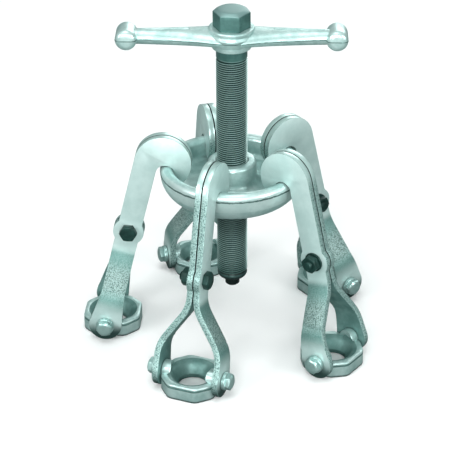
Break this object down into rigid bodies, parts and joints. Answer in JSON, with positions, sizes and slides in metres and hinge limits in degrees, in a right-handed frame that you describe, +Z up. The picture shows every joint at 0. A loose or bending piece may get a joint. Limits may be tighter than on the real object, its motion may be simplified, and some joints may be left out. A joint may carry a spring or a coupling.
{
  "type": "wheel hub puller",
  "caption": "Wheel hub puller with a dished plate, a pressing screw turned by a tee handle, and hooked forked arms whose pivoting feet bolt to the wheel studs.",
  "frame": {"origin": "centre of the circle of stud holes, on the screw's axis, in the plane the feet rest on", "axes": "+Z up along the screw, away from the wheel; +X along the tee handle; -Y towards the arm numbered 1"},
  "size_m": [0.2572, 0.2648, 0.3092],
  "materials": {
    "zinc_forging": "bright zinc on a forged surface",
    "zinc_plate": "bright zinc on sheared and bent plate",
    "bright_steel": "bright zinc on turned hexagon screws",
    "blackened_steel": "blackened and oiled"
  },
  "bodies": {
    "hub": {"hub_plate": "zinc_forging"},
    "thrust": {"thrust_tip": "blackened_steel"},
    "screw": {"spindle": "blackened_steel", "tee_handle": "zinc_forging"},
    "arm_1_group": {"arm_1_plate_left": "zinc_plate", "arm_1_plate_right": "zinc_plate", "arm_1_bolt": "blackened_steel", "arm_1_washer": "blackened_steel", "arm_1_nut": "blackened_steel"},
    "foot_1_group": {"foot_1": "zinc_forging", "foot_1_screw_left": "bright_steel", "foot_1_screw_right": "bright_steel"},
    "arm_2_group": {"arm_2_plate_left": "zinc_plate", "arm_2_plate_right": "zinc_plate", "arm_2_bolt": "blackened_steel", "arm_2_washer": "blackened_steel", "arm_2_nut": "blackened_steel"},
    "foot_2_group": {"foot_2": "zinc_forging", "foot_2_screw_left": "bright_steel", "foot_2_screw_right": "bright_steel"},
    "arm_3_group": {"arm_3_plate_left": "zinc_plate", "arm_3_plate_right": "zinc_plate", "arm_3_bolt": "blackened_steel", "arm_3_washer": "blackened_steel", "arm_3_nut": "blackened_steel"},
    "foot_3_group": {"foot_3": "zinc_forging", "foot_3_screw_left": "bright_steel", "foot_3_screw_right": "bright_steel"},
    "arm_4_group": {"arm_4_plate_left": "zinc_plate", "arm_4_plate_right": "zinc_plate", "arm_4_bolt": "blackened_steel", "arm_4_washer": "blackened_steel", "arm_4_nut": "blackened_steel"},
    "foot_4_group": {"foot_4": "zinc_forging", "foot_4_screw_left": "bright_steel", "foot_4_screw_right": "bright_steel"},
    "arm_5_group": {"arm_5_plate_left": "zinc_plate", "arm_5_plate_right": "zinc_plate", "arm_5_bolt": "blackened_steel", "arm_5_washer": "blackened_steel", "arm_5_nut": "blackened_steel"},
    "foot_5_group": {"foot_5": "zinc_forging", "foot_5_screw_left": "bright_steel", "foot_5_screw_right": "bright_steel"}
  },
  "joints": [
    {"name": "thrust_travel", "type": "slide", "parent": "hub", "child": "thrust", "axis": [0, 0, 1], "range_m": [-0.0801, 0.0551]},
    {"name": "spindle_turn", "type": "hinge", "parent": "thrust", "child": "screw", "pos_m": [0, 0, 0.0505], "axis": [0, 0, 1], "range_deg": [-14400, 9900]},
    {"name": "arm_1_swing", "type": "hinge", "parent": "hub", "child": "arm_1_group", "pos_m": [-0.01594, -0.05608, 0.15726], "axis": [0.9304, -0.3665, 0], "range_deg": [-9, 12]},
    {"name": "foot_1_tilt", "type": "hinge", "parent": "arm_1_group", "child": "foot_1_group", "pos_m": [-0.03598, -0.10696, 0.015], "axis": [0.9304, -0.3665, 0], "range_deg": [-35, 35]},
    {"name": "arm_2_swing", "type": "hinge", "parent": "hub", "child": "arm_2_group", "pos_m": [0.04676, -0.0346, 0.15726], "axis": [0.5948, 0.8039, 0], "range_deg": [-9, 12]},
    {"name": "foot_2_tilt", "type": "hinge", "parent": "arm_2_group", "child": "foot_2_group", "pos_m": [0.09072, -0.06713, 0.015], "axis": [0.5948, 0.8039, 0], "range_deg": [-35, 35]},
    {"name": "arm_3_swing", "type": "hinge", "parent": "hub", "child": "arm_3_group", "pos_m": [0.04735, 0.03378, 0.15726], "axis": [-0.5807, 0.8141, 0], "range_deg": [-9, 12]},
    {"name": "foot_3_tilt", "type": "hinge", "parent": "arm_3_group", "child": "foot_3_group", "pos_m": [0.09188, 0.06554, 0.015], "axis": [-0.5807, 0.8141, 0], "range_deg": [-35, 35]},
    {"name": "arm_4_swing", "type": "hinge", "parent": "hub", "child": "arm_4_group", "pos_m": [-0.02007, 0.05473, 0.15726], "axis": [-0.9681, -0.2504, 0], "range_deg": [-9, 12]},
    {"name": "foot_4_tilt", "type": "hinge", "parent": "arm_4_group", "child": "foot_4_group", "pos_m": [-0.03376, 0.10768, 0.015], "axis": [-0.9681, -0.2504, 0], "range_deg": [-35, 35]},
    {"name": "arm_5_swing", "type": "hinge", "parent": "hub", "child": "arm_5_group", "pos_m": [-0.05826, -0.00217, 0.15726], "axis": [-0.061, -0.9981, 0], "range_deg": [-9, 12]},
    {"name": "foot_5_tilt", "type": "hinge", "parent": "arm_5_group", "child": "foot_5_group", "pos_m": [-0.11285, 0.00117, 0.015], "axis": [-0.061, -0.9981, 0], "range_deg": [-35, 35]}
  ],
  "couplings": [
    {"joint": "thrust_travel", "follows": "spindle_turn", "m_per_rad": 0.00031831}
  ]
}
